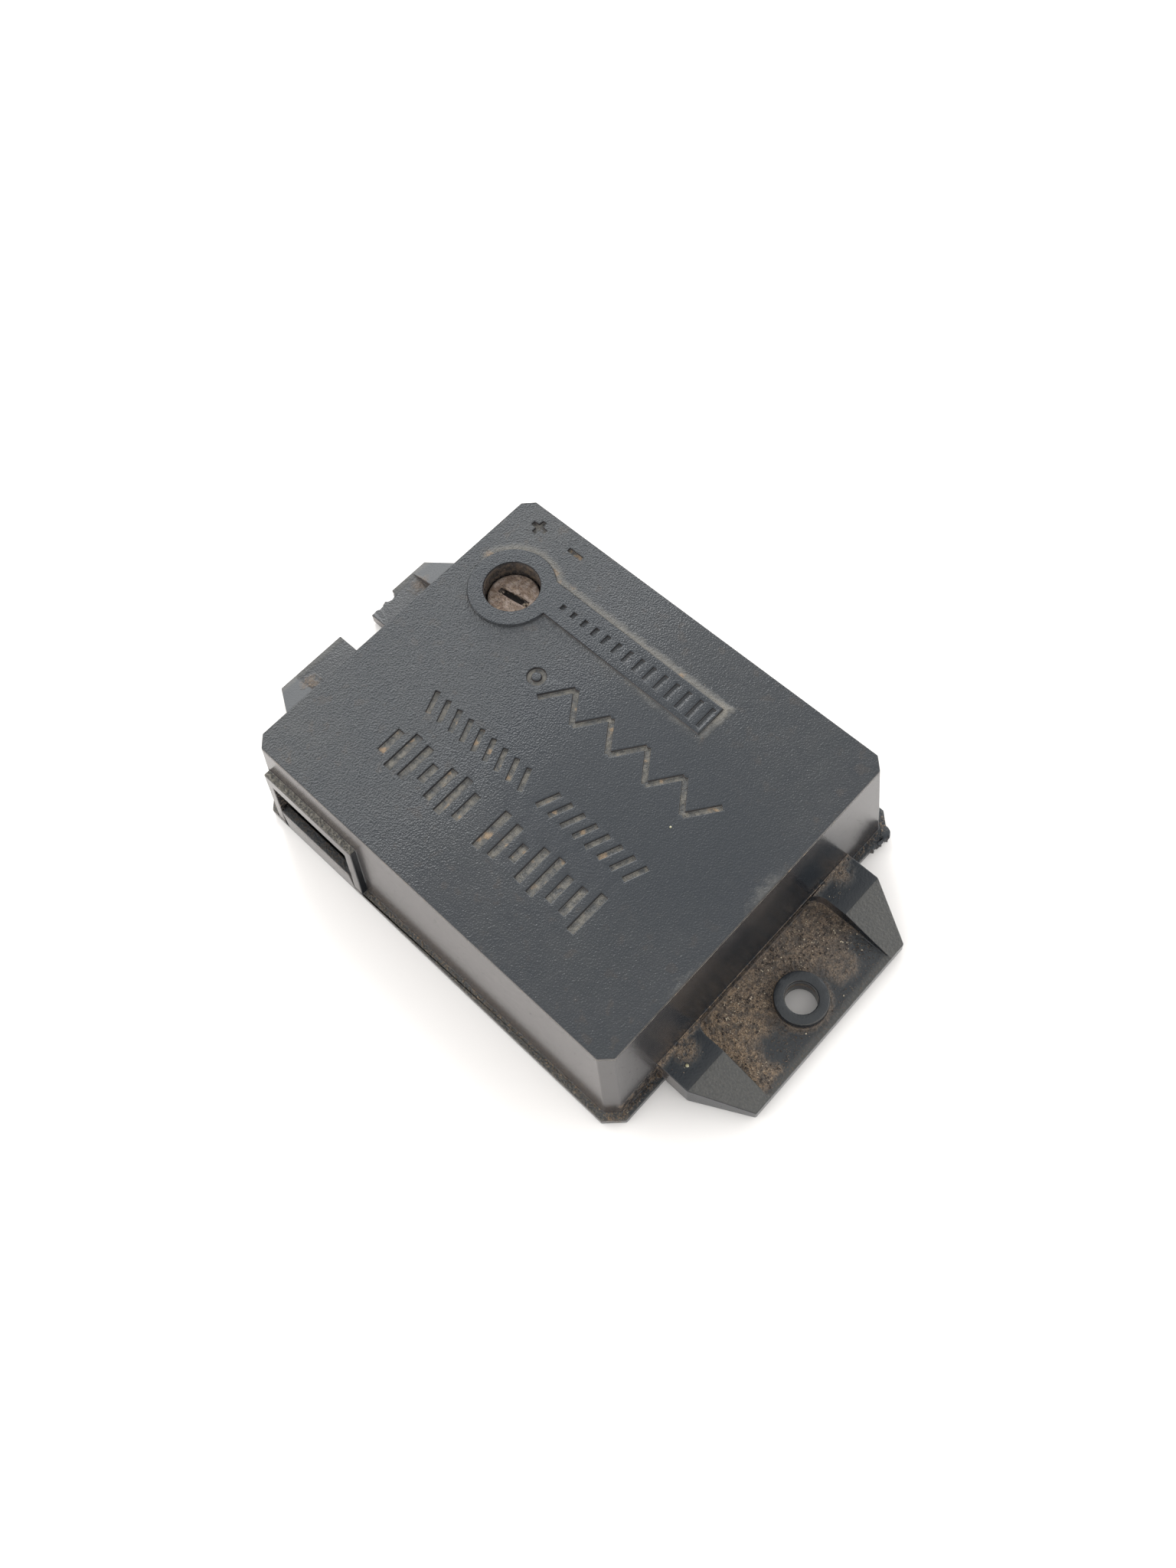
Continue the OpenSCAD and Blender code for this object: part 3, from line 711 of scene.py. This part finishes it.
def from_tear(point, place):
    """How far a point is from the upright line where plastic is torn: 1 where the damage ends."""
    centre, reach, _ = place
    return (point.xy / MM - Vector(centre)).length / reach


def tear(bm, place):
    """Breaks up the surface near an upright line, sideways only, as torn plastic."""
    edges = [e for e in bm.edges if max(from_tear(v.co, place) for v in e.verts) < 1]
    bmesh.ops.subdivide_edges(bm, edges=edges, cuts=2, use_grid_fill=True)
    for v in bm.verts:
        away = from_tear(v.co, place)
        if away < 1:
            wander = noise.noise_vector(v.co / (TEAR_LUMPS * MM))
            wander += SPLINTER_SHARE * noise.noise_vector(v.co / (TEAR_SPLINTERS * MM))
            wander.z = 0
            v.co += wander * place[2] * MM * (1 - away ** 2)


def mark_islands(bm, seed):
    """Stores each vertex's place along x on its own part, -1 to 1, and that part's number."""
    along = bm.verts.layers.float.new("along")
    own = bm.verts.layers.float.new("own")
    rng = random.Random(seed)
    seen = set()
    for start in bm.verts:
        if start in seen:
            continue
        seen.add(start)
        island = [start]
        for v in island:
            fresh = [w for e in v.link_edges if (w := e.other_vert(v)) not in seen]
            seen.update(fresh)
            island += fresh
        low = min(v.co.x for v in island)
        high = max(v.co.x for v in island)
        number = rng.random()
        for v in island:
            v[along] = (2 * v.co.x - low - high) / (high - low)
            v[own] = number


def is_edge(e):
    """Whether an edge is one of the shape's own, and not between the facets of a curve.

    A long edge counts at a smaller angle, since the facets of a curve are short.
    """
    angle = e.calc_face_angle()
    return angle > EDGE_ANGLE or angle > LONG_EDGE_ANGLE and e.calc_length() > LONG_EDGE * MM


def rounded(node, name, material, width, torn=()):
    """A copy of a CAD node that replaces it, with its edges rounded by width in mm.

    Places in torn are roughened, and nothing reaches outside the node's own box.
    """
    source = frame["nodes"][node]
    bm = bmesh.new()
    bm.from_mesh(source.data)
    bmesh.ops.remove_doubles(bm, verts=bm.verts, dist=WELD * MM)
    bmesh.ops.dissolve_limit(bm, angle_limit=FLAT_ANGLE, verts=bm.verts, edges=bm.edges)
    if width:
        sharp = [e for e in bm.edges if e.is_manifold and is_edge(e)]
        bmesh.ops.bevel(bm, geom=sharp, offset=width * MM, offset_type="OFFSET", segments=2,
                        profile=0.5, affect="EDGES", clamp_overlap=False)
    for place in torn:
        tear(bm, place)
    low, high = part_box(node)
    for v in bm.verts:
        v.co = Vector(max(lo, min(hi, c)) for c, lo, hi in zip(v.co, low, high))

    def is_torn(face):
        return any(from_tear(face.calc_center_median(), place) < 1 for place in torn)

    bmesh.ops.triangulate(bm, faces=[f for f in bm.faces if len(f.verts) > 4 or is_torn(f)])
    mark_islands(bm, seed=len(bm.verts))
    flat = [f.index for f in bm.faces if is_torn(f)]
    piece = link(name, bm, material)
    for index in flat:
        piece.data.polygons[index].use_smooth = False
    piece.data.set_sharp_from_angle(angle=SMOOTH_ANGLE)
    flatten = piece.modifiers.new("flat_faces", "WEIGHTED_NORMAL")
    flatten.keep_sharp = True
    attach(piece, source["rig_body"])
    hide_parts(node)
    return piece


def crumbs(name, body, places, material, seed):
    """Small angular grains lying at the given places: (x, y, z, size) in mm."""
    rng = random.Random(seed)
    bm = bmesh.new()
    for x, y, z, size in places:
        turn = Euler([rng.uniform(0, math.tau) for _ in range(3)]).to_matrix().to_4x4()
        wide, long = rng.uniform(*CRUMB_STRETCH), rng.uniform(*CRUMB_STRETCH)
        squash = Matrix.Diagonal((wide, long, CRUMB_HEIGHT, 1.0))
        at = Matrix.Translation(Vector((x, y, z + size * CRUMB_LIFT)) * MM)
        shape = at @ squash @ turn
        bmesh.ops.create_icosphere(bm, subdivisions=1, radius=size * MM, matrix=shape)
    piece = link(name, bm, material)
    piece.data.shade_flat()
    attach(piece, body)
    return piece


def scatter(count, seed, region, density, z, sizes):
    """Tries count places in a region (x0, x1, y0, y1), and keeps each by density's chance."""
    rng = random.Random(seed)
    x0, x1, y0, y1 = region
    found = []
    for _ in range(count):
        x = rng.uniform(x0, x1)
        y = rng.uniform(y0, y1)
        if rng.random() < density(x, y):
            found.append((x, y, z, rng.uniform(*sizes) * rng.random() ** 0.5))
    return found


def pocket_density(x, y):
    """The chance of a crumb on the drilled ear's floor: in clumps by the wall and a corner."""
    if math.hypot(x - RING_X, y) < RING_R + 0.15:
        return 0.0
    drift = noise.noise(Vector((x, y, 0)) * 0.35)
    inner = max(0.0, min(1.0, (40.5 - x + 3 * drift) / 4))
    corner = 0.9 if y < -8.2 and x < 43.2 else 0.0
    return max(inner, corner, 0.06) * (0.5 + 0.8 * drift)


def ledge_density(x, y):
    """The chance of a crumb on a ledge, in clumps."""
    return 0.5 + noise.noise(Vector((x, y, 3)) * 0.6)


def panel_density(x, y):
    """The chance of a crumb close round the far side of the raised panel."""
    ring = math.hypot(x - ADJUSTER.x, y - ADJUSTER.y) - PANEL_R
    bar = max(ADJUSTER.x - x, x - PANEL_X1, PANEL_Y[0] - y, y - PANEL_Y[1])
    gap = min(ring, bar)
    return 0.8 * math.exp(-2 * gap) if gap > 0.08 and y > 12 else 0.0


def disc_density(x, y):
    """The chance of a crumb on the adjuster's face: certain, but for its rim."""
    return 1.0 if math.hypot(x - ADJUSTER.x, y - ADJUSTER.y) < SPINDLE_R - 0.3 else 0.0


def slot_ends(count, seed):
    """Places in the caked ends of the screwdriver slot, by turns at one end and the other."""
    rng = random.Random(seed)
    along = Vector((math.cos(DRIVER_SLOT_TURN), math.sin(DRIVER_SLOT_TURN), 0))
    across = Vector((-along.y, along.x, 0))
    found = []
    for number in range(count):
        away = rng.uniform(*DRIVER_SLOT_CAKED) * (1 if number % 2 else -1)
        spot = ADJUSTER + along * away + across * rng.uniform(-0.3, 0.3)
        z = SPINDLE_Z - rng.uniform(0.25, 0.6)
        found.append((spot.x, spot.y, z, rng.uniform(0.12, 0.24)))
    return found


# ---------------------------------------------------------------- pieces

HOUSING_EDGE = 0.15
COVER_EDGE = 0.12
SPINDLE_EDGE = 0.12

black = moulding("black_moulding", grain_on_top=True, dusty=True)
plain = moulding("black_cover_moulding", grain_on_top=False, dusty=False)
rounded("upper_housing", "housing", black, HOUSING_EDGE, (TORN_STUB, TORN_PRONG))
rounded("bottom_cover", "cover", plain, COVER_EDGE)
rounded("trimmer_spindle", "spindle", dusty_spindle(), SPINDLE_EDGE, (RAGGED_SLOT,))

BAND_COLOURS = (
    srgb(20, 18, 16), srgb(92, 52, 28), srgb(184, 32, 28), srgb(216, 104, 28),
    srgb(222, 188, 44), srgb(48, 112, 56), srgb(40, 62, 132), srgb(120, 82, 140),
)
RESISTOR_BANDS = ((-0.72, -0.56), (-0.34, -0.2), (-0.04, 0.1), (0.56, 0.72))
DIODE_BANDS = ((-0.62, -0.36),)
TIN_GREY = (srgb(168, 168, 170), srgb(208, 208, 210))
SOLDER_GREY = (srgb(160, 161, 165), srgb(206, 207, 210))
GOLD = (srgb(188, 152, 78), srgb(216, 184, 112))
CERAMIC = (srgb(178, 112, 58), srgb(206, 146, 84))
LACQUER = (srgb(186, 160, 116), srgb(208, 184, 142))
GLASS = (srgb(150, 66, 34), srgb(178, 92, 52))

zinc = mottled("screw_steel", srgb(150, 152, 156), srgb(198, 198, 200), 0.34, metallic=1.0)
tin = mottled("tinned_lead", *TIN_GREY, 0.3, metallic=1.0, scale=3.0)
solder = mottled("solder", *SOLDER_GREY, 0.24, metallic=1.0, depth=0.1)
nylon = mottled("header_nylon", srgb(42, 40, 37), srgb(56, 53, 49), 0.42)
gold = mottled("pin_plating", *GOLD, 0.24, metallic=1.0, scale=3.0)
blue = mottled("trimmer_plastic", srgb(28, 48, 122), srgb(40, 66, 150), 0.38)
carbon = mottled("carbon_track", srgb(18, 18, 19), srgb(34, 33, 34), 0.7, scale=5.0, depth=0.03)
cream = mottled("rotor_plastic", srgb(204, 198, 184), srgb(226, 222, 210), 0.42)
spring = mottled("wiper_spring", srgb(176, 136, 72), srgb(210, 176, 108), 0.26, metallic=1.0)
rubber = mottled("boot_rubber", srgb(26, 26, 27), srgb(42, 41, 41), 0.78, scale=3.0, depth=0.05)
epoxy = mottled("chip_epoxy", srgb(22, 22, 24), srgb(38, 38, 40), 0.55, scale=4.0, depth=0.04)
can = mottled("can_aluminium", srgb(178, 180, 184), srgb(214, 215, 218), 0.3, metallic=1.0)
film_box = mottled("film_red", srgb(134, 38, 26), srgb(166, 56, 36), 0.3, depth=0.05)
ceramic = mottled("disc_ceramic", *CERAMIC, 0.5, scale=2.5, depth=0.06)
lacquer = banded("resistor_lacquer", *LACQUER, RESISTOR_BANDS, BAND_COLOURS)
glass = banded("diode_glass", *GLASS, DIODE_BANDS, (srgb(16, 16, 16),))

# Each part inside: its CAD node, its finish and the width its edges are rounded by
INSIDE = (
    ("cover_screws", zinc, 0.06),
    ("board_screws", zinc, 0.06),
    ("circuit_board", laminate(), 0.05),
    ("solder_joints", solder, 0),
    ("connector_header", nylon, 0.12),
    ("connector_pins", gold, 0.06),
    ("trimmer_body", blue, 0.15),
    ("trimmer_track", carbon, 0),
    ("trimmer_terminals", tin, 0.05),
    ("trimmer_rotor", cream, 0.08),
    ("trimmer_wiper", spring, 0.04),
    ("microphone_capsule", microphone_shell(), 0.15),
    ("microphone_boot", rubber, 0.15),
    ("microphone_leads", tin, 0),
    ("amplifier_chip", epoxy, 0.1),
    ("comparator_chip", epoxy, 0.1),
    ("chip_legs", tin, 0),
    ("supply_capacitor", can, 0.1),
    ("signal_capacitors", can, 0.1),
    ("capacitor_sleeves", striped_sleeve(), 0.12),
    ("film_capacitors", film_box, 0.3),
    ("disc_capacitors", ceramic, 0.3),
    ("capacitor_leads", tin, 0),
    ("resistors", lacquer, 0.25),
    ("diodes", glass, 0.2),
    ("axial_leads", tin, 0),
    ("transistors", epoxy, 0.15),
    ("transistor_legs", tin, 0),
)
for node, material, width in INSIDE:
    rounded(node, "inner_" + node, material, width)

# Sizes of crumbs, least and most, and regions they lie in: x0, x1, y0, y1
FINE = (0.03, 0.1)
MEDIUM = (0.05, 0.18)
POCKET_REGION = (32.4, 43.6, -POCKET_HALF + 0.2, POCKET_HALF - 0.2)
SPINDLE_REGION = (
    ADJUSTER.x - SPINDLE_R, ADJUSTER.x + SPINDLE_R, ADJUSTER.y - SPINDLE_R, ADJUSTER.y + SPINDLE_R)

# Crumbs on the case: how many are tried, a seed, their region, density, height and sizes
CASE_CRUMBS = (
    (3400, 11, POCKET_REGION, pocket_density, EAR_FLOOR_Z, MEDIUM),
    (120, 12, (32.2, 35.0, -17.8, -12.2), ledge_density, GUSSET_Z, FINE),
    (120, 13, (32.2, 35.0, 12.2, 17.8), ledge_density, GUSSET_Z, FINE),
    (120, 14, (32.1, 32.8, -25.5, -18.6), ledge_density, FLANGE_Z, FINE),
    (1500, 15, (-30.0, 12.5, 12.0, 21.0), panel_density, TOP_Z, (0.02, 0.06)),
    (60, 20, (32.4, 38.0, -9.0, 9.0), pocket_density, EAR_FLOOR_Z, (0.15, 0.34)),
)
SPINDLE_CRUMBS = (260, 17, SPINDLE_REGION, disc_density, SPINDLE_Z, FINE)

dirt = grit("dirt", DUST_DARK, DUST_BROWN, DUST_PALE)
pale = grit("pale_specks", srgb(150, 142, 112), srgb(172, 164, 132), srgb(176, 174, 160))
case_crumbs = [place for heap in CASE_CRUMBS for place in scatter(*heap)]
crumbs("case_grit", "case", case_crumbs, dirt, seed=16)
crumbs("spindle_grit", "adjuster", scatter(*SPINDLE_CRUMBS), dirt, seed=18)
crumbs("slot_dirt", "adjuster", slot_ends(40, seed=21), dirt, seed=22)
crumbs("case_specks", "case", PALE_SPECKS, pale, seed=19)


# ---------------------------------------------------------------- stage, light and camera

# The floor and lights are in metres and watts
FLOOR_SIZE = 3.0
FLOOR_COLOUR = (0.9, 0.85, 0.81, 1.0)

# The camera: its place and lens in mm, its turn in degrees, its clipping in metres
CAMERA_AT = (74.76, -59.23, 205.29)
CAMERA_TURN = (33.371, 5.406, 44.393)
CAMERA_LENS = 37.827
CAMERA_SHIFT = (0.04433, -0.14047)
CAMERA_CLIP = (0.01, 10.0)

# The tent: its strength overhead, what is added low down and on the window side, and the band
# of heights, as sines, over which that fades
WINDOW_SIDE = (-0.86, 0.51)
TENT_COLOUR = (0.95, 0.98, 1.0, 1.0)
TENT_TOP = 1.1
TENT_BAND = (1.0, 1.35)
TENT_EDGE = (0.52, 0.81)

KEY_HEIGHT = 42
KEY_DISTANCE = 1.0
KEY_SIZE = 0.26
KEY_POWER = 3.0


def build_floor():
    """A plain pale floor, much larger than the module."""
    bm = bmesh.new()
    bmesh.ops.create_grid(bm, x_segments=2, y_segments=2, size=FLOOR_SIZE / 2)
    material, _, shader = new_material("floor_card", roughness=0.7)
    shader.inputs["Base Color"].default_value = FLOOR_COLOUR
    link("floor", bm, material)


def build_light():
    """A tent, bright low on the window side and dark low towards the camera, and a key light."""
    world = bpy.data.worlds.new("studio")
    bpy.context.scene.world = world
    world.use_nodes = True
    graph = Graph(world.node_tree)
    direction = graph.node("TexCoord").outputs["Generated"]
    toward = graph.node("VectorMath", operation="DOT_PRODUCT")
    graph.links.new(direction, toward.inputs[0])
    toward.inputs[1].default_value = (*WINDOW_SIDE, 0.0)
    side = Field(graph, toward.outputs["Value"])
    height = graph.split(direction)[2]
    plain_band, window_band = TENT_BAND
    band = plain_band + window_band * side.ramp(-0.7, 0.8)
    band = band * height.ramp(TENT_EDGE[1], TENT_EDGE[0])
    viewer = side.ramp(-0.2, -0.8) * height.ramp(0.45, 0.2)
    background = graph.nodes["Background"]
    background.inputs["Color"].default_value = TENT_COLOUR
    graph.feed(background.inputs["Strength"], (TENT_TOP + band) * (1.0 - 0.8 * viewer))

    aim = Vector((*WINDOW_SIDE, math.tan(math.radians(KEY_HEIGHT)))).normalized()
    light = bpy.data.lights.new("key", "AREA")
    light.shape = "DISK"
    light.size = KEY_SIZE
    light.energy = KEY_POWER
    key = bpy.data.objects.new("key", light)
    key.location = aim * KEY_DISTANCE
    key.rotation_euler = aim.to_track_quat("Z", "Y").to_euler()
    bpy.context.scene.collection.objects.link(key)


def build_camera():
    """A camera high above the front right corner of the case."""
    data = bpy.data.cameras.new("camera")
    data.lens = CAMERA_LENS
    data.shift_x, data.shift_y = CAMERA_SHIFT
    data.clip_start, data.clip_end = CAMERA_CLIP
    camera = bpy.data.objects.new("camera", data)
    camera.location = Vector(CAMERA_AT) * MM
    camera.rotation_euler = Euler([math.radians(a) for a in CAMERA_TURN])
    bpy.context.scene.collection.objects.link(camera)
    bpy.context.scene.camera = camera


build_floor()
build_light()
build_camera()
bpy.context.scene.view_settings.view_transform = "Standard"
